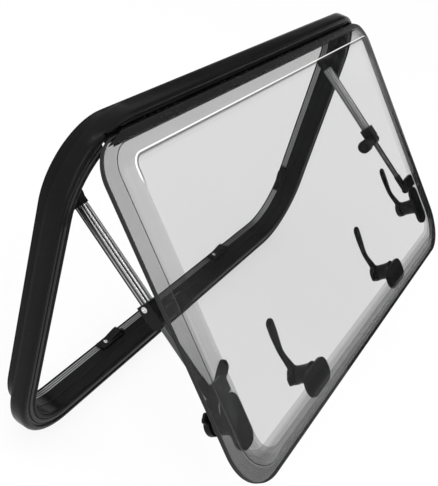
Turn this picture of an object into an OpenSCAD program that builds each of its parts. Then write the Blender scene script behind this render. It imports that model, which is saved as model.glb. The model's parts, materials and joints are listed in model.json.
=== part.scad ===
// Hinged caravan window, top hung, shown open.
// X runs along the wall, Y runs through it (outside is -Y), Z is up.
// The origin lies on the flange's back face, at the middle of its bottom rail.

/* [Frame] */
// Overall width of the outer frame
frame_w = 790; // [760:1:900]
// Overall height of the outer frame
frame_h = 440; // [430:1:560]
// Radius of the frame's outer corners
frame_r = 100; // [96:1:120]
// Width of the flange that laps over the wall
flange_lap = 20; // [19:0.5:21]
// Depth of the flange in front of the wall
flange_d = 20; // [19:0.5:21]
// Depth of the liner that goes into the wall
liner_d = 22; // [21:0.5:26]
// Thickness of the liner
liner_t = 5; // [4.5:0.5:5.5]

/* [Sash] */
// Angle at which the sash stands open
open_angle = 43; // [38:1:48]
// Width of the double sheet
pane_w = 752; // [730:1:756]
// Length of the double sheet, from the hinge line to its lower edge
pane_l = 395; // [390:1:398]
// Radius of the sheet's upper corners
pane_rt = 40; // [36:1:44]
// Radius of the sheet's lower corners
pane_rb = 61; // [58:1:64]
// Thickness of the outer sheet
outer_t = 3; // [2.8:0.1:3.2]
// Thickness of the inner sheet
inner_t = 2.5; // [2.3:0.1:2.7]
// Height of the outer sheet's dome
dome_h = 12; // [10:0.5:13]
// Width of the dome's slope
dome_slope = 14; // [13:0.5:16]

/* [Hinge] */
// Distance of the hinge line below the frame's top edge
hinge_drop = 24; // [23.5:0.1:24.5]
// Distance of the hinge line in front of the wall
hinge_out = 18; // [17.5:0.1:18.5]
// Radius of the bead that the sash turns on
bead_r = 3.3; // [3.2:0.1:3.4]
// Half the length of the hinge
hinge_half = 338; // [330:1:340]

/* [Stays] */
// Distance of each stay from the middle of the window
stay_x = 342; // [341:0.5:343]
// Height of a stay's upper pivot below the hinge line
stay_drop = 72; // [70:1:74]
// Distance of a stay's upper pivot behind the hinge line
stay_in = 20; // [19:0.5:21]
// Distance of a stay's lower pivot above the side latch
stay_reach = 30; // [29:0.5:31]
// Height of a stay's lower pivot over the hinge plane
stay_lift = 6; // [5.5:0.5:6.5]
// Length of the stay's tube
tube_l = 141; // [138:1:144]
// Radius of the tube over its ribs
tube_r = 7.6; // [7.4:0.1:7.8]
// Radius of the rod
rod_r = 4.5; // [4.3:0.1:4.6]

/* [Latches] */
// Distance of the bottom latches from the middle
bottom_latch_x = 158; // [150:1:170]
// Distance of the side latches from the middle
side_latch_x = 337; // [335:1:338]
// Distance of the bottom latches from the sheet's lower edge
bottom_latch_d = 35; // [34:1:37]
// Distance of the side latches from the sheet's lower edge
side_latch_d = 77; // [75:0.5:78]
// Length of a lever's blade from its pivot
blade_l = 80; // [72:1:84]
// Height of a latch's pillar over the sheet
pillar_h = 27; // [25:0.5:28]
// Reach of a lever's nose from its pivot
nose_l = 17; // [16:0.5:18]
// Angle by which the left side lever stands turned towards the middle
left_turn = 59; // [0:1:90]
// Angle by which the right side lever stands turned towards the middle
right_turn = 6; // [5:1:30]

/* [Hidden] */
$fn = 48;

left = -1;
right = 1;
eps = 0.01;
black = [0.11, 0.11, 0.12];
grey = [0.62, 0.63, 0.64];

// Levels of the frame: the wall face of the flange is at 0
frame_low = -flange_lap / 2;
frame_top = frame_low + frame_h;
inner_e = flange_lap + liner_t;
wall_x = frame_w / 2 - inner_e;
wall_low = frame_low + inner_e;
trim_y0 = 12;
trim_y1 = liner_d - 1.5;
nose_r = 6;

// Hinge line and the sheet's levels in the sash's own frame
hinge_z = frame_top - hinge_drop;
seat_gap = 5;
sheet_in = -(flange_d + seat_gap - hinge_out);
sheet_mid = sheet_in - inner_t;
sheet_out = sheet_mid - outer_t;
pane_top = 1.5;

// Latches and the stays' lower pivots, measured from the hinge line along the sash
bottom_latch_z = pane_l - bottom_latch_d;
side_latch_z = pane_l - side_latch_d;
stay_low = side_latch_z - stay_reach;

// The stay as a triangle: hinge line, upper pivot and lower pivot
low_y = stay_lift * cos(open_angle) - stay_low * sin(open_angle);
low_z = -stay_lift * sin(open_angle) - stay_low * cos(open_angle);
stay_dy = low_y - stay_in;
stay_dz = low_z + stay_drop;
stay_len = sqrt(stay_dy * stay_dy + stay_dz * stay_dz);
stay_angle = atan2(-stay_dy, -stay_dz);
pin_r = 3;
pin_gap = 0.06;

// Points of an arc, from angle a0 to angle a1
function arc(cx, cy, r, a0, a1, n) =
  [for (i = [0:n]) [cx + r * cos(a0 + (a1 - a0) * i / n), cy + r * sin(a0 + (a1 - a0) * i / n)]];

// Channel of the seal and pocket of the metal strip, as insets and depths
seal_w = 6.5;
seal_e1 = inner_e - 1.5;
seal_e0 = seal_e1 - seal_w;
seal_y = 6 - flange_d;
trim_e = flange_lap + liner_t / 2;

// Groove that holds the hinge
groove_half = hinge_half + 6;
groove_top = 10;
groove_d = 11;
groove_low = hinge_drop - inner_e;
groove_cut = groove_low - 10;

// Dome of the outer sheet
dome_w = pane_w - 44;
dome_z0 = 12 - pane_l;
dome_z1 = -8;
dome_rt = 28;
dome_rb = 50;

// Small parts of stays and latches
head_t = 11;
head_l = 12;
clamp_x = 8.4;
clamp_n = 8.8;
clamp_over = 10;
clamp_l = 19;
boss_r = 8.2;
boss_s = tube_l + 13;
bore_r = rod_r + 0.4;
rod_top = 93;
rod_end_t = 7;
pivot_r = 4;
pad_h = 5;
pad_l = 63;
pad_w = 38;
pad_r = 14;
pad_shift = 9;

// Mirrored twins on both sides of the middle
module both() {
  children();
  mirror([1, 0, 0]) children();
}

// A straight length along X of a section whose x is the inset and runs up Z
module bar(section, len) {
  rotate([0, -90, 0]) linear_extrude(len, center = true) polygon(section);
}

// A quarter turn of the same section, for the lower right corner
module corner(section, r) {
  rotate([-90, 0, 0])
    rotate_extrude(angle = 90, $fn = 96)
      polygon([for (p = section) [r - p[0], p[1]]]);
}

// The section swept round an upright rectangle with round corners
module ring(section, w, h, rt, rb) {
  translate([0, 0, -h / 2]) bar(section, w - 2 * rb);
  mirror([0, 0, 1]) translate([0, 0, -h / 2]) bar(section, w - 2 * rt);
  both() {
    translate([w / 2, 0, (rb - rt) / 2]) rotate([0, -90, 0]) bar(section, h - rt - rb);
    translate([w / 2 - rb, 0, rb - h / 2]) corner(section, rb);
    mirror([0, 0, 1]) translate([w / 2 - rt, 0, rt - h / 2]) corner(section, rt);
  }
}

// A ring of the frame, in place
module frame_ring(section) {
  translate([0, 0, frame_low + frame_h / 2]) ring(section, frame_w, frame_h, frame_r, frame_r);
}

// A straight length along X of a section drawn as [y, z]
module along_x(len) {
  rotate([90, 0, 90]) linear_extrude(len, center = true) children();
}

// The hinge groove along the top rail
module hinge_groove() {
  translate([-groove_half, -flange_d - eps, hinge_z + groove_cut])
    cube([2 * groove_half, groove_d + eps, groove_top - groove_cut]);
}

module outer_frame() {
  section = concat(
    [[0, 0]],
    arc(nose_r, nose_r - flange_d, nose_r, 180, 270, 6),
    [[nose_r + 1.5, -flange_d], [nose_r + 2.5, 2.5 - flange_d], [nose_r + 5, 2.5 - flange_d],
     [nose_r + 6, 1 - flange_d], [seal_e0, 1 - flange_d], [seal_e0, seal_y], [seal_e1, seal_y],
     [seal_e1, 2.5 - flange_d], [inner_e - 1, 2 - flange_d], [inner_e, 3 - flange_d],
     [inner_e, trim_y0], [trim_e, trim_y0], [trim_e, trim_y1], [flange_lap, trim_y1], [flange_lap, 0]]);
  color(black) difference() {
    frame_ring(section);
    hinge_groove();
  }
}

module seal() {
  mid = (seal_e0 + seal_e1) / 2;
  bulb = seal_w / 2 - 0.25;
  section = concat(
    [[seal_e0, seal_y], [seal_e1, seal_y], [seal_e1, bulb - flange_d]],
    arc(mid, bulb - flange_d, bulb, 0, -180, 8),
    [[seal_e0, bulb - flange_d]]);
  color(black) difference() {
    frame_ring(section);
    hinge_groove();
  }
}

module trim_strip() {
  grooves = 3;
  pitch = (trim_y1 - trim_y0) / grooves;
  ribs = [for (i = [0:grooves - 1], p = [[0, 0.3], [0, 0.7], [-0.8, 0.75], [-0.8, 0.95]])
    [inner_e + p[0], trim_y0 + (i + p[1]) * pitch]];
  color(grey) frame_ring(concat([[trim_e, trim_y0], [inner_e, trim_y0]], ribs,
    [[inner_e, trim_y1], [trim_e, trim_y1]]));
}

module rear_bead() {
  section = [[flange_lap, trim_y1], [inner_e + 0.5, trim_y1], [inner_e + 0.5, liner_d - 0.6],
    [inner_e + 0.1, liner_d], [flange_lap, liner_d]];
  color(black) frame_ring(section);
}

module hinge_profile() {
  wall = groove_d - flange_d + hinge_out;
  color(black) translate([0, -hinge_out, hinge_z]) along_x(2 * hinge_half) {
    circle(bead_r);
    translate([bead_r - 1, -1.2]) square([wall - bead_r + 1, 2.4]);
    translate([wall - 2, groove_low]) square([2, groove_top - groove_low]);
  }
}

// Flat outline with round corners, z0 its lower and z1 its upper edge
module outline(w, z0, z1, rt, rb) {
  translate([-w / 2, z0 + rb]) square([w, z1 - z0 - rt - rb]);
  translate([rb - w / 2, z0]) square([w - 2 * rb, rb + 1]);
  translate([rt - w / 2, z1 - rt - 1]) square([w - 2 * rt, rt + 1]);
  for (s = [left, right]) {
    translate([s * (w / 2 - rb), z0 + rb]) circle(rb, $fn = 96);
    translate([s * (w / 2 - rt), z1 - rt]) circle(rt, $fn = 96);
  }
}

// A flat sheet from level y down to y - t
module sheet(y, t) {
  translate([0, y, 0]) rotate([90, 0, 0]) linear_extrude(t) children();
}

// The space that the frame's inner wall encloses
module inside_wall() {
  sheet(3 * flange_d, 6 * flange_d)
    outline(2 * wall_x, wall_low, frame_top - inner_e, frame_r - inner_e, frame_r - inner_e);
}

// Keeper on the strip, its ramp rising to the right; its own Z stands off the wall
module keeper(base_t) {
  long = 50;
  front = trim_y0 - 5;
  back = trim_y1 - 0.1;
  mid = (front + back) / 2;
  color(black) {
    difference() {
      translate([-long / 2, front, 0]) cube([long, back - front, base_t]);
      translate([-long / 4, mid, base_t - 0.8]) cylinder(h = 1, r = 4);
    }
    translate([-long / 4, mid, base_t - 0.8]) cylinder(h = 1.2, r = 3.2);
    translate([0, back, 0]) rotate([90, 0, 0]) linear_extrude(back - front - 3)
      polygon([[-6, base_t - 0.1], [12, 9], [18, 9], [18, base_t - 0.1]]);
    translate([long / 2 - 4, front + 1, base_t - eps]) cube([4, 6, 3]);
  }
}

module on_bottom_wall(side) {
  translate([side * bottom_latch_x, 0, wall_low]) children();
}

module on_side_wall(side) {
  translate([side * wall_x, 0, hinge_z - side_latch_z]) rotate([0, -side * 90, 0]) children();
}

module bottom_keeper_left() on_bottom_wall(left) keeper(3.5);
module bottom_keeper_right() on_bottom_wall(right) keeper(3.5);

module side_keeper(side) {
  intersection() {
    inside_wall();
    on_side_wall(side) keeper(4.5);
  }
}

module side_keeper_left() side_keeper(left);
module side_keeper_right() side_keeper(right);

// Bracket on the jamb with the pin that the stay turns on
module stay_bracket(side) {
  base_t = 6;
  collar = wall_x - base_t - head_t / 2 - stay_x - 1;
  color(black) intersection() {
    inside_wall();
    translate([side * stay_x, stay_in - hinge_out, hinge_z - stay_drop]) rotate([0, side * 90, 0]) {
      translate([-16, -11, wall_x - stay_x - base_t]) cube([32, 19, base_t]);
      translate([0, 0, head_t / 2 + 1]) cylinder(h = collar, r = pin_r + 2.5);
      translate([0, 0, -head_t / 2 - 1]) cylinder(h = head_t + 3, r = pin_r);
      translate([0, 0, -head_t / 2 - 2.5]) cylinder(h = 2, r = pin_r + 2);
    }
  }
}

module stay_bracket_left() stay_bracket(left);
module stay_bracket_right() stay_bracket(right);

// The sash's own frame: the hinge line is its X axis, the sheet hangs down -Z
module in_sash() {
  translate([0, -hinge_out, hinge_z]) rotate([-open_angle, 0, 0]) children();
}

module pane_outline() outline(pane_w, -pane_l, pane_top, pane_rt, pane_rb);
module dome_outline(inset) {
  outline(dome_w - 2 * inset, dome_z0 + inset, dome_z1 - inset, dome_rt - inset, dome_rb - inset);
}

module outer_sheet() {
  bend = round(10 * outer_t * tan(atan(dome_h / dome_slope) / 2)) / 10;
  top = sheet_out - dome_h;
  land = dome_slope + 4;
  section = [[-2, sheet_mid], [-2, sheet_out], [0, sheet_out], [dome_slope, top], [land, top],
    [land, top + outer_t], [dome_slope + bend, top + outer_t], [bend, sheet_mid]];
  color([0.72, 0.74, 0.76, 0.35]) in_sash() {
    sheet(sheet_mid, outer_t) difference() {
      pane_outline();
      dome_outline(0);
    }
    translate([0, 0, (dome_z0 + dome_z1) / 2])
      ring(section, dome_w, dome_z1 - dome_z0, dome_rt, dome_rb);
    sheet(top + outer_t, outer_t) dome_outline(land - 2);
  }
}

module inner_sheet() {
  color([0.72, 0.74, 0.76, 0.35]) in_sash() sheet(sheet_in, inner_t) pane_outline();
}

// Clip on the sheets' top edge with the barrel that turns on the bead
module sash_rail() {
  barrel_r = bead_r + 2.3;
  back = sheet_in + 1.8;
  front = sheet_out - 1.7;
  lip = pane_top + 1.5;
  end_cut = 30;
  color(black) in_sash() difference() {
    along_x(2 * hinge_half) {
      difference() {
        circle(barrel_r);
        circle(bead_r + 0.3);
        polygon([[0, 0], [8, -5.6], [12, 0], [8, 8], [-0.7, 8]]);
      }
      translate([sheet_in, -8]) square([back - sheet_in, lip + 8]);
      translate([front, pane_top]) square([back - front, lip - pane_top]);
      translate([front, -4]) square([sheet_out - front, lip + 4]);
    }
    both() translate([hinge_half, 0, 0]) rotate([90, 0, 0]) linear_extrude(40, center = true)
      polygon([[0.1, -9], [0.1, lip + 1], [-end_cut, lip + 1]]);
  }
}

// The place of a latch: its own Z stands off the inner sheet, its -Y points up along the sash
module at_latch(side, x, d) {
  in_sash() translate([side * x, sheet_in, -d]) rotate([-90, 0, 0]) children();
}

// Foot pad, pillar and pivot pin; the pad lies crosswise or lengthwise and may be shifted down the sash
module latch(turn, shift) {
  color(black) {
    translate([0, shift, 0]) rotate([0, 0, turn]) linear_extrude(pad_h) {
      square([pad_l - 2 * pad_r, pad_w], center = true);
      square([pad_l, pad_w - 2 * pad_r], center = true);
      for (x = [left, right], y = [left, right])
        translate([x * (pad_l / 2 - pad_r), y * (pad_w / 2 - pad_r)]) circle(pad_r);
    }
    cylinder(h = pillar_h, r1 = 13, r2 = 11.5);
    cylinder(h = pillar_h + 8, r = pivot_r);
  }
}

module bottom_latch_left() at_latch(left, bottom_latch_x, bottom_latch_z) latch(0, pad_shift);
module bottom_latch_right() at_latch(right, bottom_latch_x, bottom_latch_z) latch(0, pad_shift);
module side_latch_left() at_latch(left, side_latch_x, side_latch_z) latch(90, 0);
module side_latch_right() at_latch(right, side_latch_x, side_latch_z) latch(90, 0);

// Lever with a curved blade up the sash and a short nose, turned to nose_turn from down the sash
module lever(nose_turn) {
  steps = 12;
  blade_t = 4.2;
  rise = 8;
  fall = 3;
  z0 = pillar_h + 1;
  bend = [for (i = [0:steps]) (1 - cos(180 * min(1, i / 6))) / 2 * rise - fall * pow(i / steps, 2)];
  path = [for (i = [0:steps]) [i * blade_l / steps, z0 + 0.5 + bend[i]]];
  plan = [for (i = [0:steps]) 8 - 2 * sin(180 * i / steps)];
  color(black) {
    difference() {
      union() {
        translate([0, 0, z0]) cylinder(h = 7.5, r = 12.5);
        translate([0, 0, z0 + 7.5]) cylinder(h = 1.5, r1 = 12.5, r2 = 11);
      }
      translate([0, 0, z0 - 1]) cylinder(h = 8.2, r = pivot_r + pin_gap);
    }
    intersection() {
      rotate([0, 0, -90]) rotate([90, 0, 0]) linear_extrude(40, center = true)
        polygon(concat(path, [for (i = [steps:-1:0]) [path[i][0], path[i][1] + blade_t]]));
      difference() {
        translate([0, 0, z0]) linear_extrude(30) {
          polygon(concat([for (i = [0:steps]) [plan[i], -path[i][0] * 0.9]],
            [for (i = [steps:-1:0]) [-plan[i], -path[i][0] * 0.9]]));
          translate([0, 8 - blade_l]) circle(8);
        }
        translate([0, 0, z0 - 1]) cylinder(h = 20, r = 11);
      }
    }
    rotate([0, 0, nose_turn]) translate([0, 0, z0]) linear_extrude(6)
      polygon([[-9, 8], [-6.5, 12], [-6.2, nose_l], [6.2, nose_l], [6.5, 12], [9, 8]]);
  }
}

module bottom_lever_left() at_latch(left, bottom_latch_x, bottom_latch_z) lever(90);
module bottom_lever_right() at_latch(right, bottom_latch_x, bottom_latch_z) lever(90);
module side_lever_left() at_latch(left, side_latch_x, side_latch_z) rotate([0, 0, left_turn]) lever(90);
module side_lever_right() at_latch(right, side_latch_x, side_latch_z) rotate([0, 0, -right_turn]) lever(-90);

// Foot on the sash above the side latch, with a cheek beside the end of the stay's rod
module rod_bracket(side) {
  cheek = 4;
  gap = 2.5;
  foot_w = 34;
  foot_l = 20;
  foot_t = 4;
  foot_x = side_latch_x - foot_w / 2 + 4;
  foot_z = 0.5 + pad_l / 2 - side_latch_z;
  x0 = stay_x + rod_end_t / 2 + gap;
  color(black) in_sash() mirror([(1 - side) / 2, 0, 0]) {
    translate([foot_x, sheet_in, foot_z]) cube([foot_w, foot_t, foot_l - 8]);
    translate([foot_x + 8, sheet_in, foot_z + foot_l - 9]) cube([foot_w - 16, foot_t, 9]);
    for (x = [8, foot_w - 8])
      translate([foot_x + x, sheet_in, foot_z + foot_l - 8]) rotate([-90, 0, 0])
        cylinder(h = foot_t, r = 8);
    translate([x0, sheet_in, foot_z]) cube([cheek, stay_lift - sheet_in, 14]);
    translate([x0, stay_lift, -stay_low]) rotate([0, 90, 0]) cylinder(h = cheek, r = 7);
  }
}

module rod_bracket_left() rod_bracket(left);
module rod_bracket_right() rod_bracket(right);

// The stay's own frame: the upper pivot is its X axis, the stay runs down its -Z
module in_stay(side) {
  translate([side * stay_x, stay_in - hinge_out, hinge_z - stay_drop])
    rotate([-stay_angle, 0, 0]) children();
}

// Ribbed tube
module stay_tube(side) {
  ribs = 12;
  color(grey) in_stay(side) translate([0, 0, -tube_l]) linear_extrude(tube_l - head_l) difference() {
    union() {
      circle(tube_r - 0.5);
      for (i = [1:ribs]) rotate(i * 360 / ribs) translate([tube_r - 1, 0]) circle(1, $fn = 16);
    }
    circle(bore_r);
  }
}

// Black head that turns on the bracket's pin, with a plug in the tube
module stay_head(side) {
  color(black) in_stay(side) difference() {
    union() {
      rotate([0, 90, 0]) cylinder(h = head_t, r = 8, center = true);
      translate([-head_t / 2, -6.5, -head_l]) cube([head_t, 13, head_l]);
      translate([0, 0, -head_l - 12]) cylinder(h = 13, r = bore_r - 0.05);
    }
    rotate([0, 90, 0]) cylinder(h = head_t + 1, r = pin_r + pin_gap, center = true);
  }
}

// Clamp block on the tube's lower end, with the boss that the knob's stem goes through
module stay_clamp(side) {
  z1 = clamp_over - tube_l;
  color(black) in_stay(side) difference() {
    union() {
      translate([-clamp_x, -clamp_n, z1 - clamp_l]) cube([2 * clamp_x, 2 * clamp_n, clamp_l]);
      translate([0, 0, -boss_s]) rotate([0, 90, 0]) cylinder(h = 2 * clamp_x, r = boss_r, center = true);
    }
    translate([0, 0, -tube_l]) cylinder(h = clamp_over + 1, r = tube_r + 0.02);
    translate([0, 0, -boss_s - boss_r - 1]) cylinder(h = 3 * boss_r, r = rod_r + 0.4);
  }
}

// Fluted knob on its stem, towards the window's middle
module stay_knob(side) {
  flutes = 10;
  stem = 23;
  knob_l = 18;
  color(black) in_stay(side) translate([0, 0, -boss_s]) rotate([0, -side * 90, 0]) {
    translate([0, 0, clamp_x]) cylinder(h = stem, r = 7);
    translate([0, 0, clamp_x + stem]) difference() {
      union() {
        cylinder(h = knob_l - 2, r = 10.5);
        translate([0, 0, knob_l - 2]) cylinder(h = 2, r1 = 10.5, r2 = 8.5);
      }
      for (i = [1:flutes]) rotate(i * 360 / flutes) translate([11.2, 0, -1])
        cylinder(h = knob_l + 2, r = 1.6, $fn = 16);
    }
  }
}

// Head of the clamp's screw, on the jamb side
module stay_screw(side) {
  color(grey) in_stay(side) translate([side * clamp_x, 0, -tube_l + 5]) rotate([0, side * 90, 0])
    difference() {
      cylinder(h = 1.6, r = 3.5);
      translate([0, 0, 0.8]) cylinder(h = 1, r = 1.6, $fn = 6);
    }
}

module stay_rod(side) {
  color(grey) in_stay(side) translate([0, 0, 6 - stay_len])
    cylinder(h = stay_len - 6 - rod_top, r = rod_r);
}

// Eye beside the sash's bracket, with its rivet and the sleeve on the rod
module rod_end(side) {
  color(black) in_stay(side) translate([0, 0, -stay_len]) difference() {
    union() {
      rotate([0, 90, 0]) cylinder(h = rod_end_t, r = 5.5, center = true);
      rotate([0, 90, 0]) cylinder(h = rod_end_t + 2, r = 3, center = true);
      cylinder(h = 28, r = rod_r + 0.9);
    }
    translate([0, 0, 6]) cylinder(h = 23, r = rod_r + 0.02);
  }
}

module stay_tube_left() stay_tube(left);
module stay_tube_right() stay_tube(right);
module stay_head_left() stay_head(left);
module stay_head_right() stay_head(right);
module stay_clamp_left() stay_clamp(left);
module stay_clamp_right() stay_clamp(right);
module stay_knob_left() stay_knob(left);
module stay_knob_right() stay_knob(right);
module stay_screw_left() stay_screw(left);
module stay_screw_right() stay_screw(right);
module stay_rod_left() stay_rod(left);
module stay_rod_right() stay_rod(right);
module rod_end_left() rod_end(left);
module rod_end_right() rod_end(right);

outer_frame();
seal();
trim_strip();
rear_bead();
hinge_profile();
bottom_keeper_left();
bottom_keeper_right();
side_keeper_left();
side_keeper_right();
stay_bracket_left();
stay_bracket_right();
outer_sheet();
inner_sheet();
sash_rail();
bottom_latch_left();
bottom_latch_right();
side_latch_left();
side_latch_right();
rod_bracket_left();
rod_bracket_right();
bottom_lever_left();
bottom_lever_right();
side_lever_left();
side_lever_right();
stay_tube_left();
stay_tube_right();
stay_head_left();
stay_head_right();
stay_clamp_left();
stay_clamp_right();
stay_knob_left();
stay_knob_right();
stay_screw_left();
stay_screw_right();
stay_rod_left();
stay_rod_right();
rod_end_left();
rod_end_right();
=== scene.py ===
# %% [markdown]
# # A top-hung caravan window
# The window is one moulded black rim, a clear double sheet that hangs open from
# its top edge, two telescopic stays and four turn latches. The solids come from
# the CAD frame. This script dresses them: it draws the smooth curved surfaces
# with numpy, gives every part its finish, and lights it like the studio photo.

# %% Load the frame
import json
import math

import bmesh
import bpy
import numpy as np
from mathutils import Matrix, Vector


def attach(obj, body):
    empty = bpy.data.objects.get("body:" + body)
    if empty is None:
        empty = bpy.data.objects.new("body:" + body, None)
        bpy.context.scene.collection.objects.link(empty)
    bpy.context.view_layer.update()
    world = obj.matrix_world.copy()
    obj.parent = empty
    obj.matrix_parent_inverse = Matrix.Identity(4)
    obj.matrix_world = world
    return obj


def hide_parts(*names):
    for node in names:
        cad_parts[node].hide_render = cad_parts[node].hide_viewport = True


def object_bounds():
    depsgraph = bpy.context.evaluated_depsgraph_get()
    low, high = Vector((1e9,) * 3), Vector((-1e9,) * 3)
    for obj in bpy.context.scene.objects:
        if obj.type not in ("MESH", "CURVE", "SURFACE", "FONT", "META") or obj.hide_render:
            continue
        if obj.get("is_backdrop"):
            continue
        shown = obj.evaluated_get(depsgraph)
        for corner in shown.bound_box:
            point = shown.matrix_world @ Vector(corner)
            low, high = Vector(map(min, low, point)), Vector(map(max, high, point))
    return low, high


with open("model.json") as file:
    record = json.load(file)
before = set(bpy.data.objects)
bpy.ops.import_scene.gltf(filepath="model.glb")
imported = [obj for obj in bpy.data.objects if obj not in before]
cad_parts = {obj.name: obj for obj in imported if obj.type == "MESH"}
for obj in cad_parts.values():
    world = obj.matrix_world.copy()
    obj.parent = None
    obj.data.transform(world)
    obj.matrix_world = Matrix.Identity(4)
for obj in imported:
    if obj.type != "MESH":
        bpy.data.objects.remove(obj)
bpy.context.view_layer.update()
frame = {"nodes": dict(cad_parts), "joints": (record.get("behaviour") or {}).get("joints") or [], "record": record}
joints = {j["name"]: j for j in frame["joints"]}

# %% [markdown]
# ## Camera
# The photograph was taken from the left, in front of and above the window, with
# a slight roll. A camera is a place and three directions. They were fitted to
# the corners of the rim and the sash, so they are written down as they are:
# the rows of a rotation, turned into Blender's right, up and backwards.

# %% Camera
MM = 0.001
PHOTO_H = 486
FOCAL_PX = 819.89
camera_data = bpy.data.cameras.new("photo_camera")
camera_data.sensor_width = 36.0
camera_data.lens = FOCAL_PX / PHOTO_H * camera_data.sensor_width
camera = bpy.data.objects.new("photo_camera", camera_data)
bpy.context.scene.collection.objects.link(camera)
look = np.array([0.79937, 0.28403, -0.52946])
right = np.array([0.47162, -0.84258, 0.26005])
down = np.array([-0.37225, -0.45759, -0.80749])
place = np.array([-957.25, -380.48, 774.59]) * MM
facing = Matrix([list(row) for row in np.column_stack([right, -down, -look])])
camera.matrix_world = Matrix.Translation(list(place)) @ facing.to_4x4()
bpy.context.scene.camera = camera
print("lens", round(camera_data.lens, 2), "mm")

# %% [markdown]
# ## Light, background and floor
# The photo has a pure white ground with one pale, soft shadow. The world is
# white to eyes and mirrors, and LIGHT_LEVEL says how strongly it lights the
# window. The floor glows almost white by itself and adds a little of the light
# that falls on it, so that a shadow shows on it as pale grey.

# %% Shader kit
class Link:
    """An output socket that can be reckoned with: every operator adds a Math node."""

    def __init__(self, finish, socket):
        self.finish, self.socket = finish, socket

    def reckon(self, operation, a, b):
        return self.finish.node("ShaderNodeMath", {"operation": operation}, {0: a, 1: b})

    def __add__(self, other):
        return self.reckon("ADD", self, other)

    def __radd__(self, other):
        return self.reckon("ADD", other, self)

    def __sub__(self, other):
        return self.reckon("SUBTRACT", self, other)

    def __rsub__(self, other):
        return self.reckon("SUBTRACT", other, self)

    def __mul__(self, other):
        return self.reckon("MULTIPLY", self, other)

    def __truediv__(self, other):
        return self.reckon("DIVIDE", self, other)


# Output numbers of the Texture Coordinate node and of the Light Path node
SPOTS = {"UV": 2, "Object": 3}
CAMERA_RAY, MIRROR_RAY, SEE_THROUGH_RAY = 0, 3, 6


class Finish:
    """A material or world tree; node() adds any node with its settings and inputs."""

    def __init__(self, name, owner=None):
        self.owner = owner or bpy.data.materials.new(name)
        self.owner.use_nodes = True
        self.tree = self.owner.node_tree
        self.surface = self.tree.nodes.get("Principled BSDF")

    def node(self, kind, settings=None, inputs=None, output=0):
        made = self.tree.nodes.new(kind)
        for name, value in (settings or {}).items():
            if name == "stops":
                ramp = made.color_ramp
                for i, (where, grey) in enumerate(value):
                    stop = ramp.elements[i] if i < 2 else ramp.elements.new(where)
                    stop.position, stop.color = where, (grey, grey, grey, 1)
            else:
                setattr(made, name, value)
        for name, value in (inputs or {}).items():
            self.put(made.inputs[name], value)
        return Link(self, made.outputs[output])

    def put(self, socket, value):
        if isinstance(value, Link):
            self.tree.links.new(value.socket, socket)
        else:
            socket.default_value = value

    def set(self, **values):
        """Puts values or links on the main shader's sockets, named with _ for a space."""
        for name, value in values.items():
            self.put(self.surface.inputs[name.replace("_", " ")], value)
        return self

    def spread(self, low, high, mask):
        """A value that runs from low to high as the mask runs from 0 to 1."""
        return mask * (high - low) + low

    def tint(self, dark, light, mask):
        """A colour between two colours, by the mask."""
        return self.node("ShaderNodeMix", {"data_type": "RGBA"},
                         {0: mask, 6: (*dark, 1), 7: (*light, 1)}, output=2)

    def step(self, value, low, high):
        """0 below low, 1 above high, and a smooth run between."""
        return self.node("ShaderNodeMapRange", {"interpolation_type": "SMOOTHSTEP"},
                         {0: value, 1: low, 2: high})

    def along(self, where, axis):
        """One coordinate in metres: where is "UV" or "Object", axis is 0, 1 or 2."""
        spot = self.node("ShaderNodeTexCoord", output=SPOTS[where])
        return self.node("ShaderNodeSeparateXYZ", None, {0: spot}, output=axis)

    def mark(self, name):
        """The number that a point attribute of the mesh holds."""
        return self.node("ShaderNodeAttribute", {"attribute_name": name}, output=2)

    def seen(self):
        """1 where an eye or a mirror looks, and 0 where only light falls."""
        rays = [self.node("ShaderNodeLightPath", output=kind)
                for kind in (CAMERA_RAY, MIRROR_RAY, SEE_THROUGH_RAY)]
        return rays[0] + rays[1] + rays[2]

    def noise(self, scale, detail=3.0, stretch=None, where="Object"):
        """Soft noise, its scale in blobs a metre, stretched along an axis if asked."""
        spot = self.node("ShaderNodeTexCoord", output=SPOTS[where])
        if stretch:
            spot = self.node("ShaderNodeMapping", None, {"Vector": spot, "Scale": stretch})
        return self.node("ShaderNodeTexNoise", None,
                         {"Vector": spot, "Scale": scale, "Detail": detail})

    def bump(self, height, depth):
        """A Bump node on Normal; depth is the height's full swing in metres."""
        return self.set(Normal=self.node("ShaderNodeBump", None,
                                         {"Height": height, "Distance": depth, "Strength": 1.0}))


# %% World
world = bpy.data.worlds.new("studio")
bpy.context.scene.world = world
sky = Finish("studio", world)
LIGHT_LEVEL = 1.0
back = sky.tree.nodes["Background"]
back.inputs["Color"].default_value = (1, 1, 1, 1)
sky.put(back.inputs["Strength"], sky.spread(LIGHT_LEVEL, 1.0, sky.seen()))
bpy.context.scene.view_settings.view_transform = "Standard"


# %% Lamps
def lamp(name, place, target, size, power):
    """A soft oblong lamp, size wide and high, at a place and turned to look at a target."""
    data = bpy.data.lights.new(name, "AREA")
    data.shape, data.size, data.size_y, data.energy = "RECTANGLE", size[0], size[1], power
    away = np.array(place, float) - np.array(target)
    away /= np.linalg.norm(away)
    side = np.cross([0, 0, 1.0], away)
    side /= np.linalg.norm(side)
    aim = Matrix([list(r) for r in np.column_stack([side, np.cross(away, side), away])])
    made = bpy.data.objects.new(name, data)
    made.matrix_world = Matrix.Translation(place) @ aim.to_4x4()
    bpy.context.scene.collection.objects.link(made)


lamp("strip_left", (-1.5, -1.0, 1.5), (-0.3, 0, 0.3), (0.10, 1.4), 12)
lamp("strip_top", (-0.6, -0.1, 2.0), (-0.2, 0, 0.3), (1.6, 0.08), 6)
lamp("fill_low", (-1.4, -1.6, 0.5), (0, 0, 0.2), (0.7, 0.7), 5)

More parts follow.
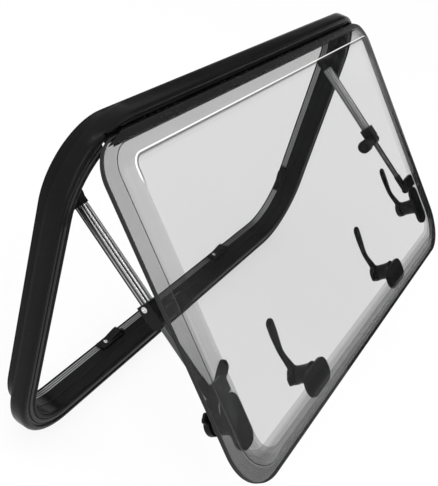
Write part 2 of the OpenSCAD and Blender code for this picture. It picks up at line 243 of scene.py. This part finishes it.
# %% [markdown]
# The right half of the pane mirrors a darker part of the studio, and so does the
# top rail's upper face. Black cards far to the right do that here, as a
# photographer would do it: one low in front, one high behind. Only mirror rays
# see them.

# %% Cards
CARDS = {"card_front": [[1.3, -1.35, -0.2], [2.6, -0.9, -0.2], [2.6, -0.9, 2.0], [1.3, -1.35, 2.0]],
         "card_behind": [[1.8, -0.6, 0.75], [1.8, 1.6, 0.75], [1.8, 1.6, 1.7], [1.8, -0.6, 1.7]]}
card_black = Finish("card_black").set(
    Base_Color=(0.01, 0.01, 0.01, 1), Roughness=0.9, Specular_IOR_Level=0.0).owner
for name, corners in CARDS.items():
    sheet = bpy.data.meshes.new(name)
    sheet.from_pydata(corners, [], [(0, 1, 2, 3)])
    sheet.materials.append(card_black)
    card = bpy.data.objects.new(name, sheet)
    bpy.context.scene.collection.objects.link(card)
    for ray in ("camera", "diffuse", "transmission", "shadow"):
        setattr(card, "visible_" + ray, False)
    card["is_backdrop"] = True
print(len(CARDS), "cards")

# %% Floor
FLOOR_HALF, FLOOR_GAP = 6.0, 0.0005
FLOOR_GREY, OWN_GLOW = 0.9, 0.85
floor_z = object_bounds()[0][2] - FLOOR_GAP
floor_mesh = bpy.data.meshes.new("floor")
floor_mesh.from_pydata([[x * FLOOR_HALF, y * FLOOR_HALF, floor_z]
                        for x, y in ((-1, -1), (1, -1), (1, 1), (-1, 1))], [], [(0, 1, 2, 3)])
floor = bpy.data.objects.new("floor", floor_mesh)
bpy.context.scene.collection.objects.link(floor)
ground = Finish("floor_white")
ground.set(Base_Color=(FLOOR_GREY,) * 3 + (1,), Roughness=0.9, Specular_IOR_Level=0.0)
glow = ground.node("ShaderNodeEmission", None, {"Color": (1, 1, 1, 1), "Strength": 1.0})
lit = Link(ground, ground.surface.outputs[0])
mixed = ground.node("ShaderNodeMixShader", None, {0: ground.seen() * OWN_GLOW, 1: lit, 2: glow})
ground.put(ground.tree.nodes["Material Output"].inputs["Surface"], mixed)
floor.data.materials.append(ground.owner)
floor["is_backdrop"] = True
print("floor at", round(floor_z, 4))

# %% [markdown]
# ## Finishes
# Every black part is moulded plastic, but none is one flat colour: a fine grain
# lies in the surface, the gloss changes softly from place to place, and handling
# leaves faint dust and scuffs. Noise on the part's own coordinates gives all
# three, at real scale, and the same recipe with other numbers serves each part.


# %% Black plastics and rubber
def plastic(name, grey, gloss, shine, grain=1800, depth=0.00003):
    """Black moulded plastic: grey is its colour, gloss its low and high roughness,
    shine its plain reflection, grain the grains a metre and depth their depth."""
    made = Finish(name)
    cloud = made.noise(14, 4)
    fine = made.noise(grain, 2)
    scuff = made.noise(120, 5, (1, 1, 7))
    speck = made.node("ShaderNodeValToRGB", {"stops": [(0.56, 0.0), (0.74, 1.0)]}, {"Fac": scuff})
    pale = speck * 0.35 + cloud * 0.4
    made.set(Base_Color=made.tint((grey * 0.8,) * 3, (grey * 1.9,) * 3, pale),
             Roughness=made.spread(gloss[0], gloss[1], cloud * 0.6 + speck * 0.3 + fine * 0.1),
             Specular_IOR_Level=shine)
    return made.bump(fine, depth).owner


frame_plastic = plastic("frame_plastic", 0.0065, (0.16, 0.3), 0.06)
profile_black = plastic("profile_black", 0.013, (0.2, 0.34), 0.1, grain=2600, depth=0.00001)
fitting_plastic = plastic("fitting_plastic", 0.005, (0.3, 0.52), 0.12, grain=2200)
seal_rubber = plastic("seal_rubber", 0.003, (0.45, 0.7), 0.12, grain=3000, depth=0.00004)

# %% [markdown]
# The metals are drawn through a die, so fine streaks run along each part. The
# strip and the tubes also have ribs, and the shade between two ribs is painted
# as a dark band of the same pitch, because it is finer than the mesh.


# %% Metals
STRIP_0, STRIP_1, STRIP_RIBS = 12, 20.5, 3        # Y of the strip's two edges, in mm
TUBE_R, TUBE_ROUND, TUBE_RIBS = 7.4, 46.5, 10      # radius and way round, in mm


def drawn_metal(name, grey, gloss, streak, band=None):
    """Drawn metal: streak is how the noise is stretched, and band(made) may give
    a mask that is 1 in the shade between two ribs."""
    made = Finish(name)
    line = made.noise(1.0, 3, streak, where="UV")
    blot = made.noise(40, 3)
    tone = made.tint((grey * 0.72,) * 3, (grey * 1.15, grey * 1.16, grey * 1.18), line)
    if band:
        tone = made.node("ShaderNodeMix", {"data_type": "RGBA"},
                         {0: band(made), 6: tone, 7: (grey * 0.10,) * 3 + (1,)}, output=2)
    made.set(Base_Color=tone, Metallic=1.0,
             Roughness=made.spread(gloss[0], gloss[1], line * 0.7 + blot * 0.3))
    return made.bump(line, 0.00001).owner


def ripple(made, where, axis, pitch, start, share):
    """1 in bands that repeat every pitch mm along one coordinate, for that share of it."""
    way = (made.along(where, axis) - start * MM) / (pitch * MM)
    phase = made.node("ShaderNodeMath", {"operation": "FRACT"}, {0: way})
    return made.step(phase, 1 - share - 0.08, 1 - share + 0.08)


strip_pitch = (STRIP_1 - STRIP_0) / STRIP_RIBS
strip_aluminium = drawn_metal(
    "strip_aluminium", 0.42, (0.22, 0.45), (3, 900, 1),
    band=lambda made: ripple(made, "Object", 1, strip_pitch, STRIP_0, 0.42))
stay_aluminium = drawn_metal(
    "stay_aluminium", 0.46, (0.16, 0.36), (700, 6, 1),
    band=lambda made: ripple(made, "UV", 0, TUBE_ROUND / TUBE_RIBS, 3.5, 0.5))
rod_aluminium = drawn_metal("rod_aluminium", 0.10, (0.2, 0.4), (700, 6, 1))
screw_steel = drawn_metal("screw_steel", 0.62, (0.18, 0.35), (300, 300, 300))

# %% [markdown]
# ## Clear sheet
# The double sheet is grey-tinted acrylic. A glass shader would mirror the white
# studio at each of its four faces and veil what lies behind, so the sheets are
# a dark, glossy plastic with a small Alpha, and the light that the dome's edge
# bends and mirrors is painted on as shade and highlights. The mesh says where
# the painted shade is darker: V of its own UV map is the way out from the dome's
# flat top, in metres. First comes the dome's slope, painted darker towards the
# bottom, then the flat land, which is painted darker still, darker again at the
# right side where it mirrors a darker part of the studio, and has soft streaks
# towards the bottom. The bends at both ends of the slope show as a painted dark
# hairline and a painted white highlight, brightest along the top, and the sawn
# edge is nearly black, partly the tint seen through the sheet's edge and partly
# painted shade.

# %% Acrylic
SLOPE_0, SLOPE_1 = 0.003, 0.0214                  # V where the slope starts and ends
LOW_Z, TOP_Z, RIGHT_X = (0.10, 0.34), (0.380, 0.392), (0.30, 0.352)   # where the painted shade and highlights fade
CLEAR_VEIL, LINE_VEIL = 0.085, 0.75               # Alpha of the plain sheet and of a painted line
clear = Finish("clear_sheet")
wipe = clear.noise(9, 5, (1, 1, 2.5))
streak = clear.noise(1.0, 4, (5, 700, 1), where="UV")
way_out = clear.along("UV", 1)
across, height = clear.along("Object", 0), clear.along("Object", 2)
blown, sawn = clear.mark("blown"), clear.mark("sawn_edge")


def hairline(at, width):
    """1 on a line of that width round the dome, at metres of V from its flat top."""
    return (clear.step(way_out, at - width / 2, at - width / 4)
            * (1 - clear.step(way_out, at + width / 4, at + width / 2)) * blown)


border = clear.step(way_out, SLOPE_0 - 0.0015, SLOPE_0 + 0.006)
land = clear.step(way_out, SLOPE_1 - 0.0015, SLOPE_1) * blown
low_part = 1 - clear.step(height, *LOW_Z)
at_top = clear.step(height, *TOP_Z)
at_right = clear.step(across, *RIGHT_X)
# Painted dark lines and painted white highlights along the slope's two bends stand in for the light that the round
# bends mirror; the strongest are only along the top
painted_dark_line = hairline(SLOPE_1, 0.0012) + hairline(0.0012, 0.0024) * at_top * 0.8
painted_highlight = hairline(SLOPE_1 + 0.0012, 0.0009) * 0.12 + hairline(0.0036, 0.0022) * at_top
# Painted shade in the sheet's Alpha: a little on the slope, more on the slope towards the bottom with streaks,
# more on the land, and most on the land at the right side, which mirrors a darker part of the studio
painted_shade = (border * 0.05 + border * low_part * (0.08 + streak * 0.30)
        + land * (0.10 + streak * 0.10) + land * at_right * 0.35)
veil = CLEAR_VEIL + painted_shade + (painted_dark_line + painted_highlight) * LINE_VEIL
clear.set(Base_Color=clear.tint((0.02, 0.02, 0.021), (0.95, 0.95, 0.95), painted_highlight),
          Alpha=clear.spread(veil, 1.0, sawn), Specular_IOR_Level=0.15,
          Roughness=clear.spread(0.03, 0.10, wipe) + sawn * 0.55)
clear_sheet = clear.owner

# %% [markdown]
# ## Surfaces
# Two ways of drawing serve most parts. A profile carried round a rounded
# rectangle gives the rim, the metal strip and the rear bead. A ring that shrinks
# towards the middle gives the sheets. Both are grids of points worked out as
# whole arrays, and each row of a grid closes on itself.


# %% Grid to mesh
def bent(profile, radius, steps=5, closed=True):
    """Softens a polyline's corners: each becomes a parabola that starts and ends
    at radius from the corner, or at 45 % of the shorter side."""
    p = np.asarray(profile, float)
    before, after = np.roll(p, 1, 0) - p, np.roll(p, -1, 0) - p
    la, lb = np.linalg.norm(before, axis=1), np.linalg.norm(after, axis=1)
    cut = np.minimum(radius, 0.45 * np.minimum(la, lb))
    if not closed:
        cut[[0, -1]] = 0.0
        la[0] = lb[-1] = 1.0
    a = (p + before / la[:, None] * cut[:, None])[:, None]
    b = (p + after / lb[:, None] * cut[:, None])[:, None]
    t = np.linspace(0, 1, steps)[None, :, None]
    soft = (1 - t) ** 2 * a + 2 * t * (1 - t) * p[:, None] + t ** 2 * b
    if closed:
        return soft.reshape(-1, p.shape[1])
    return np.vstack([p[:1], soft[1:-1].reshape(-1, p.shape[1]), p[-1:]])


def grid_mesh(name, rows, wrap_rows=False, caps=False, angle=35):
    """A mesh from rows of points (m, n, 3); each row closes on itself. The last row
    joins the first if wrap_rows, or both ends get a flat face if caps."""
    m, n = rows.shape[:2]
    # The four corners of each quad, as numbers of points
    i = np.arange(m if wrap_rows else m - 1)[:, None]
    j = np.arange(n)[None, :]
    a, b = i * n + j, i * n + (j + 1) % n
    c, d = (i + 1) % m * n + (j + 1) % n, (i + 1) % m * n + j
    quads = np.stack(np.broadcast_arrays(a, b, c, d), -1).reshape(-1, 4)
    faces = quads.tolist()
    if caps:
        faces += [np.arange(n)[::-1].tolist(), ((m - 1) * n + np.arange(n)).tolist()]
    mesh = bpy.data.meshes.new(name)
    mesh.from_pydata(rows.reshape(-1, 3).tolist(), [], faces)
    # U is the way along a row and V the way from row to row, both in metres
    along = np.linalg.norm(np.diff(rows, axis=1, append=rows[:, :1]), axis=2).max(0)
    u = np.concatenate([[0], np.cumsum(along)])
    across = np.linalg.norm(np.diff(rows, axis=0, append=rows[:1]), axis=2).max(1)
    v = np.concatenate([[0], np.cumsum(across)])
    jj, ii = np.broadcast_to(j, a.shape).reshape(-1), np.broadcast_to(i, a.shape).reshape(-1)
    uv = np.stack([np.stack([u[jj], v[ii]], -1), np.stack([u[jj + 1], v[ii]], -1),
                   np.stack([u[jj + 1], v[ii + 1]], -1), np.stack([u[jj], v[ii + 1]], -1)], 1)
    layer = mesh.uv_layers.new(name="UVMap")
    flat = np.zeros(len(mesh.loops) * 2)
    flat[:uv.size] = uv.reshape(-1)
    layer.data.foreach_set("uv", flat)
    mesh.polygons.foreach_set("use_smooth", [True] * len(mesh.polygons))
    mesh.set_sharp_from_angle(angle=math.radians(angle))
    return mesh


def outward(mesh):
    """Turns the faces outwards where a closed mesh came out inside out: its volume,
    summed over the triangles, is then below zero."""
    points = np.array([v.co for v in mesh.vertices])
    mesh.calc_loop_triangles()
    corners = np.array([t.vertices for t in mesh.loop_triangles])
    a, b, c = (points[corners[:, k]] for k in range(3))
    if np.einsum("ij,ij->i", a, np.cross(b, c)).sum() < 0:
        mesh.flip_normals()
    return mesh


def add_piece(name, mesh, material, body, slot, *replaced):
    """An object for a finished mesh, on its body, with its finish and what it replaces."""
    mesh.materials.clear()
    mesh.materials.append(material)
    made = bpy.data.objects.new(name, mesh)
    bpy.context.scene.collection.objects.link(made)
    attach(made, body)
    if replaced:
        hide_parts(*replaced)
    print(name, len(mesh.vertices), "points")


# %% [markdown]
# ## The moulded rim
# The rim is one profile carried round the opening: a rounded nose in front, a
# shallow groove, a flat with the seal's channel, and behind the flange the
# narrower liner that goes into the wall. The same walk round the opening
# carries the ribbed metal strip and the rear bead.

# %% Outlines
# An outline in mm: width, lower and upper end, upper and lower corner radius
FRAME = (790, -10, 430, 100, 100)
ARC_STEPS, SIDE_STEPS = 20, 10


def outline(w, z0, z1, r_top, r_low, inset):
    """Points (n, 2) of an upright rounded rectangle, inset by some mm: four quarter
    arcs about the corners' centres, with straights between them in equal steps."""
    w, z0, z1 = w - 2 * inset, z0 + inset, z1 - inset
    r_top, r_low = r_top - inset, r_low - inset
    turn = np.linspace(0, 90, ARC_STEPS + 1)
    centres = [(w / 2 - r_top, z1 - r_top, r_top, 90), (w / 2 - r_low, z0 + r_low, r_low, 0),
               (r_low - w / 2, z0 + r_low, r_low, 270), (r_top - w / 2, z1 - r_top, r_top, 180)]
    arcs = []
    for x, z, r, start in centres:
        angle = np.radians(start - turn)
        arcs.append(np.column_stack([x + r * np.cos(angle), z + r * np.sin(angle)]))
    share = np.linspace(0, 1, SIDE_STEPS + 1)[1:-1, None]
    full = []
    for k, arc in enumerate(arcs):
        after = arcs[(k + 1) % 4][0]
        full += [arc, arc[-1] * (1 - share) + after * share]
    return np.vstack(full)


def around_frame(profile):
    """Rows of points (m, n, 3) in metres for a profile [inset, y] carried round the rim."""
    rows = [np.insert(outline(*FRAME, inset), 1, y, axis=1) for inset, y in profile]
    return np.array(rows) * MM


# %% Rim, strip and bead
FLANGE_D, LAP, INNER, NOSE = 20, 20, 25, 6
GROOVE = ([-344, -22, 395], [344, -9, 416])
nose_turn = np.radians(np.linspace(180, 270, 9))
nose = np.column_stack([NOSE + NOSE * np.cos(nose_turn),
                        NOSE - FLANGE_D + NOSE * np.sin(nose_turn)])
SEAL_1, SEAL_0, SEAL_Y = INNER - 1.5, INNER - 8.0, 6 - FLANGE_D
STRIP_E = LAP + 2.5
rim_profile = np.vstack([
    bent([[0.6, 0.1], [0, -3], [0, -9]], 2, closed=False), nose[1:],
    bent([[NOSE + 1.5, -FLANGE_D], [NOSE + 2.5, 2.5 - FLANGE_D], [NOSE + 5, 2.5 - FLANGE_D],
          [NOSE + 6, 1 - FLANGE_D], [SEAL_0, 1 - FLANGE_D], [SEAL_0, SEAL_Y], [SEAL_1, SEAL_Y],
          [SEAL_1, 2.5 - FLANGE_D], [INNER - 1, 2 - FLANGE_D], [INNER, 3 - FLANGE_D],
          [INNER, -3.4], [INNER + 1, -2.8], [INNER + 1, -1.8], [INNER, -1.4],
          [INNER, STRIP_0], [STRIP_E, STRIP_0], [STRIP_E, STRIP_1], [LAP, STRIP_1],
          [LAP, 0.1]], 0.45, closed=False)])


def cut_groove(mesh):
    """The rim without the long groove that holds the hinge along its top rail."""
    body = bpy.data.objects.new("rim_blank", mesh)
    low, high = np.array(GROOVE) * MM
    box = bpy.data.meshes.new("groove")
    pick = np.array([[x, y, z] for x in (0, 1) for y in (0, 1) for z in (0, 1)])
    box.from_pydata((low + pick * (high - low)).tolist(), [], [
        (0, 1, 3, 2), (4, 6, 7, 5), (0, 4, 5, 1), (2, 3, 7, 6), (0, 2, 6, 4), (1, 5, 7, 3)])
    tool = bpy.data.objects.new("groove", box)
    for o in (body, tool):
        bpy.context.scene.collection.objects.link(o)
    change = body.modifiers.new("groove", "BOOLEAN")
    change.operation, change.object, change.solver = "DIFFERENCE", tool, "EXACT"
    bpy.context.view_layer.update()
    ready = body.evaluated_get(bpy.context.evaluated_depsgraph_get())
    done = bpy.data.meshes.new_from_object(ready)
    for o in (body, tool):
        bpy.data.objects.remove(o)
    done.set_sharp_from_angle(angle=math.radians(30))
    return done


rim = cut_groove(outward(grid_mesh("frame_rim", around_frame(rim_profile), wrap_rows=True)))
add_piece("frame_rim", rim, frame_plastic, "frame", "frame_plastic", "outer_frame")

ribs = [[INNER + dip, STRIP_0 + (k + share) * strip_pitch] for k in range(STRIP_RIBS)
        for dip, share in ((0, 0.04), (0, 0.54), (-0.8, 0.62), (-0.8, 0.94))]
strip_profile = bent([[STRIP_E, STRIP_0], [INNER, STRIP_0]] + ribs
                     + [[INNER, STRIP_1], [STRIP_E, STRIP_1]], 0.25)
strip = outward(grid_mesh("ribbed_strip", around_frame(strip_profile), wrap_rows=True, angle=50))
add_piece("ribbed_strip", strip, strip_aluminium, "frame", "strip_aluminium", "trim_strip")

bead_profile = bent([[LAP, STRIP_1], [INNER + 0.5, STRIP_1], [INNER + 0.5, 21.4],
                     [INNER + 0.1, 22], [LAP, 22]], 0.5)
bead = outward(grid_mesh("rear_edge", around_frame(bead_profile), wrap_rows=True))
add_piece("rear_edge", bead, frame_plastic, "frame", "frame_plastic", "rear_bead")

# %% [markdown]
# ## The double sheet
# The outer sheet is blown into a shallow dome that meets its flat border in a
# slope, and the inner sheet is flat. Each is a stack of rings from the middle of
# one face, over the edge, to the middle of the other face. The bends of the
# slope are round, because they catch the long white lines of light.

# %% Sash place
OPEN = math.radians(43)
hinge = np.array(joints["sash_hinge"]["pos_m"], float)
sash_y = np.array([0, math.cos(OPEN), -math.sin(OPEN)])
sash_z = np.array([0, math.sin(OPEN), math.cos(OPEN)])


def on_sash(points):
    """Points [x, y, z] in mm of the sash's own frame, in metres of the window's frame."""
    p = np.asarray(points, float) * MM
    return hinge + p[..., :1] * np.array([1.0, 0, 0]) + p[..., 1:2] * sash_y + p[..., 2:] * sash_z


# %% Sheets
PANE, DOME = (752, -395, 1.5, 40, 61), (708, -383, -8, 28, 50)
SHEET_IN, SHEET_MID, SHEET_OUT = -7.0, -9.5, -12.5
DOME_H, SLOPE, SHEET_T = 12, 14, 3.0


def sheet_rows(rings):
    """Rows for rings [outline, inset, y]; every ring has the same number of points."""
    return on_sash([np.insert(outline(*shape, inset), 1, y, axis=1) for shape, inset, y in rings])


def mark_rings(mesh, name, marks):
    """Writes a point attribute with one number for each ring of points."""
    layer = mesh.attributes.new(name, "FLOAT", "POINT")
    ring = len(mesh.vertices) // len(marks)
    layer.data.foreach_set("value", np.repeat(np.array(marks, float), ring))


def add_sheet(name, rings, blown, replaced):
    """One sheet from its rings, marked where it is blown and where it is sawn."""
    mesh = outward(grid_mesh(name, sheet_rows(rings), caps=True, angle=60))
    mark_rings(mesh, "sawn_edge", [shape is PANE and inset < 1 for shape, inset, y in rings])
    mark_rings(mesh, "blown", [blown] * len(rings))
    add_piece(name, mesh, clear_sheet, "sash", "clear_sheet", replaced)


front = bent([[17, SHEET_OUT - DOME_H], [SLOPE, SHEET_OUT - DOME_H], [0, SHEET_OUT],
              [-5, SHEET_OUT]], 4.0, steps=7, closed=False)
behind = front + [1.6, SHEET_T]
outer_rings = ([(DOME, inset, y) for inset, y in front]
               + [(PANE, 1.1, SHEET_OUT), (PANE, 0.7, SHEET_OUT + 0.05),
                  (PANE, 0.2, SHEET_OUT + 0.3), (PANE, 0, SHEET_OUT + 0.8),
                  (PANE, 0, SHEET_MID - 0.6), (PANE, 0.4, SHEET_MID - 0.05),
                  (PANE, 1.1, SHEET_MID - 0.05)]
               + [(DOME, inset, min(y, SHEET_MID - 0.05)) for inset, y in behind[::-1]])
add_sheet("dome_sheet", outer_rings, 1, "outer_sheet")
inner_rings = [(PANE, 34, SHEET_MID + 0.05), (PANE, 1.1, SHEET_MID + 0.05),
               (PANE, 0.5, SHEET_MID + 0.05), (PANE, 0, SHEET_MID + 0.5), (PANE, 0, SHEET_IN - 0.6),
               (PANE, 0.6, SHEET_IN), (PANE, 1.1, SHEET_IN), (PANE, 34, SHEET_IN)]
add_sheet("flat_sheet", inner_rings, 0, "inner_sheet")

# %% [markdown]
# ## The clip on the sheet's top edge
# A black extruded clip holds the sheets and turns on the hinge bead. Its face
# runs in one slope from the barrel down to the lip, and its ends are cut
# slantwise. It is one profile pushed along X, with a shorter length at the top
# and a longer one in front.

# %% Sash clip
HINGE_HALF, FRONT_REACH, END_SLANT = 338, 16, 30
BARREL_R, SLOT_R = 5.6, 3.7
slot_turn = np.radians(np.linspace(214, 108, 8))
clip_profile = np.vstack([
    [[BARREL_R * np.cos(slot_turn[-1]), BARREL_R * np.sin(slot_turn[-1])]],
    bent([[-3.6, 6.0], [-14.2, 3.2], [-14.2, -5.5], [-12.6, -5.5], [-12.6, 1.6], [-6.9, 1.6],
          [-6.9, -8.0], [-5.2, -8.0], [-5.2, -2.4]], 0.7, closed=False),
    np.column_stack([SLOT_R * np.cos(slot_turn), SLOT_R * np.sin(slot_turn)])])


def along_sash(profile, half):
    """Rows of a profile [y, z] pushed along X, with a half length for each of its points."""
    share = np.linspace(-1, 1, 21)[:, None]
    x = share * half[None, :]
    y, z = (np.broadcast_to(profile[:, k], x.shape) for k in (0, 1))
    return on_sash(np.stack([x, y, z], -1))


in_front = np.clip((-10 - clip_profile[:, 0]) / 2, 0, 1)
end_slant = np.clip((clip_profile[:, 1] + 5) * 3.0, 0, END_SLANT)
clip_rows = along_sash(clip_profile, HINGE_HALF + FRONT_REACH * in_front - end_slant)
clip = outward(grid_mesh("sash_clip", clip_rows, caps=True))
add_piece("sash_clip", clip, profile_black, "sash", "profile_black", "sash_rail")

# %% [markdown]
# ## Latches and levers
# Each latch is a rounded pad with a pillar, and its lever is a hub, a short nose
# and a curved blade that is slim at the neck and broad at the tip. The pad is a
# stack of rings, hub and pillar are turned, and the blade is a loft: an oval
# whose width and height change along a curved line.


# %% Turned and lofted shapes
def turned(profile, steps=48, flute=None):
    """Rows of circles for a profile [r, z] about Z; flute(angle) is taken off the radius."""
    angle = np.linspace(0, 2 * np.pi, steps, endpoint=False)
    r, z = (np.asarray(profile, float)[:, k][:, None] for k in (0, 1))
    radius = r - (flute(angle) if flute else 0.0)
    return np.stack([radius * np.cos(angle), radius * np.sin(angle), z + 0 * angle], -1)


def loft(line, across, upward, half_w, half_t, power=2.6, steps=28):
    """Rows of ovals |x/w|^p + |z/t|^p = 1 along a line, set out by two directions."""
    angle = np.linspace(0, 2 * np.pi, steps, endpoint=False)
    c, d = np.cos(angle), np.sin(angle)
    ox = np.sign(c) * np.abs(c) ** (2 / power)
    oz = np.sign(d) * np.abs(d) ** (2 / power)
    return (line[:, None] + half_w[:, None, None] * ox[None, :, None] * across
            + half_t[:, None, None] * oz[None, :, None] * upward[:, None])


def placed(points, origin, axes):
    """Points in mm of a part's own frame, in metres: origin plus each coordinate times its axis."""
    return origin + np.asarray(points, float) @ np.array(axes, float) * MM


def joined(name, meshes):
    """One mesh from several."""
    work = bmesh.new()
    for mesh in meshes:
        work.from_mesh(outward(mesh))
    whole = bpy.data.meshes.new(name)
    work.to_mesh(whole)
    work.free()
    return whole


# %% Shapes of latch and lever
PAD = (63, -19, 14, 14, 14)
PILLAR, HUB_Z, HUB_RISE, BLADE = 27, 28, 33, 80   # HUB_RISE is the joint's height
BEND, BEND_RISE, TIP_DROP = 40, 8, 3              # the blade rises, then sinks a little
NOSE_STEPS, NOSE_END = 8, 18.6
pad_ring = [(0, 0.05), (0, 3.4), (0.25, 4.3), (1.0, 4.9), (2.4, 5.0)]
pillar_profile = bent([[14.5, 4.6], [12.6, 9], [11.6, 16], [11.5, PILLAR], [5, PILLAR]], 3,
                      closed=False)
hub_profile = bent([[5, HUB_Z], [12.4, HUB_Z], [12.4, HUB_Z + 7.4], [10.6, HUB_Z + 9],
                    [3.4, HUB_Z + 9.2]], 1.0, closed=False)
s = np.linspace(2, BLADE, 40)
rise = (1 - np.cos(np.pi * np.minimum(1, s / BEND))) / 2 * BEND_RISE - TIP_DROP * (s / BLADE) ** 2
blade_line = np.stack([0 * s, -s, HUB_Z + 2.8 + rise], -1)
tangent = np.gradient(blade_line, axis=0)
tangent /= np.linalg.norm(tangent, axis=1)[:, None]
ACROSS = np.array([1.0, 0, 0])
blade_up = np.cross(tangent, ACROSS)
blade_up *= np.sign(blade_up[:, 2:])
waist = np.interp(s, [0, 12, 27, 42, 58, 70, BLADE], [8.6, 7.4, 4.6, 5.8, 8.5, 8.8, 7.8])
waist = np.convolve(np.pad(waist, 3, "edge"), np.ones(7) / 7, "valid")
tip = np.sqrt(np.clip(1 - ((s - 73.5) / 6.7).clip(0) ** 2, 0.02, 1))
blade_w, blade_t = waist * tip, (2.9 - 0.3 * s / BLADE) * np.sqrt(tip)


def latch_shape(name, origin, axes, turn, shift):
    """Pad and pillar; turn lays the pad lengthwise, shift moves it down the sash."""
    rings = np.array([np.insert(outline(*PAD, inset), 2, z, axis=1) for inset, z in pad_ring])
    if turn:
        rings = rings[..., [1, 0, 2]] * [-1, 1, 1]
    rings = rings + [0, shift, 0]
    shapes = [grid_mesh(name, placed(rings, origin, axes), caps=True),
              grid_mesh(name, placed(turned(pillar_profile), origin, axes), caps=True)]
    return joined(name, shapes)


def lever_shape(name, origin, axes, nose_side):
    """Hub, blade up the sash and nose to one side; nose_side is 1 for -X and -1 for +X."""
    blade = loft(blade_line, ACROSS, blade_up, blade_w, blade_t)
    reach = np.linspace(4, NOSE_END, NOSE_STEPS)
    nose_line = np.stack([-nose_side * reach, 0 * reach, np.full(NOSE_STEPS, HUB_Z + 3.1)], -1)
    nose_w = np.interp(reach, [4, 9, 13, 17.6, NOSE_END], [8.6, 7.6, 5.6, 6.4, 5.2])
    nose_t = np.interp(reach, [4, 17.4, NOSE_END], [2.9, 2.8, 1.8])
    short_nose = loft(nose_line, np.array([0, 1.0, 0]), np.tile([0, 0, 1.0], (NOSE_STEPS, 1)),
                      nose_w, nose_t, power=4.5)
    shapes = [grid_mesh(name, placed(rows, origin, axes), caps=True)
              for rows in (turned(hub_profile), blade, short_nose)]
    return joined(name, shapes)


# %% Place them
LEVER_TURNS = {("side", "left"): 59, ("side", "right"): -6}
for side in ("left", "right"):
    for kind, pad_turn, shift in (("bottom", False, 9), ("side", True, 0)):
        hub = np.array(joints[f"{kind}_lever_turn_{side}"]["pos_m"], float)
        foot = hub - HUB_RISE * MM * sash_y
        axes = np.array([[1.0, 0, 0], -sash_z, sash_y])
        pad = latch_shape(f"{kind}_latch_pad_{side}", foot, axes, pad_turn, shift)
        add_piece(f"{kind}_latch_pad_{side}", pad, fitting_plastic, "sash", "fitting_plastic",
                  f"{kind}_latch_{side}")
        swing = math.radians(LEVER_TURNS.get((kind, side), 0))
        swung = np.array([[math.cos(swing), math.sin(swing), 0],
                          [-math.sin(swing), math.cos(swing), 0], [0, 0, 1]]) @ axes
        nose_side = -1 if (kind, side) == ("side", "right") else 1
        lever = lever_shape(f"{kind}_handle_{side}", foot, swung, nose_side)
        add_piece(f"{kind}_handle_{side}", lever, fitting_plastic, f"{kind}_lever_{side}",
                  "fitting_plastic", f"{kind}_lever_{side}")

# %% [markdown]
# ## Screws of the keepers
# Each bottom keeper is held by one bright pan-head screw. The head is turned,
# and its cross slot is two sunk bars, cut by pushing down the points that lie
# near the two axes.

# %% Screws
KEEPER_X, SCREW_AT = 158, [-12.5, 13.7, 18.7]
SLOT_HALF, SLOT_END, SLOT_D = 0.35, 2.1, 0.6
screw_profile = [[3.2, 0], [3.1, 0.5], [2.6, 0.95], [1.9, 1.15], [1.2, 1.25], [0.6, 1.3],
                 [0.1, 1.3]]
for side, sign in (("left", -1), ("right", 1)):
    rows = turned(screw_profile, 64)
    from_x, from_y = abs(rows[..., 1]), abs(rows[..., 0])
    slot = (np.minimum(from_x, from_y) < SLOT_HALF) & (np.hypot(from_x, from_y) < SLOT_END)
    rows[..., 2] -= SLOT_D * slot
    origin = (np.array([sign * KEEPER_X, 0, 0]) + SCREW_AT) * MM
    head = outward(grid_mesh("screw", placed(rows, origin, np.eye(3)), caps=True, angle=25))
    add_piece(f"keeper_screw_{side}", head, screw_steel, "frame", "screw_steel")

# %% [markdown]
# ## Stays
# A stay is a drawn aluminium tube with ribs along it, and a plain rod that
# slides in it. Both are turned shapes, with the ribs taken off the radius.

# %% Tubes and rods
TUBE_0, TUBE_1, TUBE_IN, FLUTE_D = -12.2, -140.9, 5.0, 0.75
ROD_0, ROD_1, ROD_IN, ROD_R = -93.2, -249.4, 1.0, 4.4


def bar_profile(inner, outer, start, end, radius):
    """Profile [r, z] of a bar from start to end, with its two rims rounded."""
    return bent([[inner, start], [outer, start], [outer, end], [inner, end]], radius, closed=False)


def rib_cut(angle):
    """Wide round flutes between narrow ribs: deepest half way between two ribs."""
    return FLUTE_D * (0.5 - 0.5 * np.cos(TUBE_RIBS * angle)) ** 1.5


tube_rows = turned(bar_profile(TUBE_IN, TUBE_R, TUBE_0, TUBE_1, 0.4), 120, rib_cut)
rod_rows = turned(bar_profile(ROD_IN, ROD_R, ROD_0, ROD_1, 0.3), 40)
BARS = (("ribbed_tube", "stay_tube", tube_rows, stay_aluminium, 60),
        ("plain_rod", "stay_rod", rod_rows, rod_aluminium, 35))
for side in ("left", "right"):
    pivot = np.array(joints[f"stay_turn_{side}"]["pos_m"], float)
    along = np.array(joints[f"stay_slide_{side}"]["axis"], float)
    axes = np.array([[1.0, 0, 0], np.cross(-along, [1.0, 0, 0]), -along])
    for name, body, rows, finish, angle in BARS:
        bar = outward(grid_mesh(name, placed(rows, pivot, axes), caps=True, angle=angle))
        add_piece(f"{name}_{side}", bar, finish, f"{body}_{side}", "stay_aluminium",
                  f"{body}_{side}")

# %% [markdown]
# ## Parts that stay as they are
# The small CAD parts have their right shape, so they keep it and get a finish.

# %% Finish the CAD nodes
finishes = {"frame_plastic": frame_plastic, "profile_black": profile_black,
            "seal_rubber": seal_rubber, "strip_aluminium": strip_aluminium,
            "stay_aluminium": stay_aluminium, "screw_steel": screw_steel,
            "clear_sheet": clear_sheet, "fitting_plastic": fitting_plastic}
for part in frame["record"]["subparts"]:
    node = frame["nodes"].get(part["node"])
    if node is not None:
        node.data.materials.clear()
        node.data.materials.append(finishes[part["material_slot"]])
print(len(frame["nodes"]), "nodes have a finish")
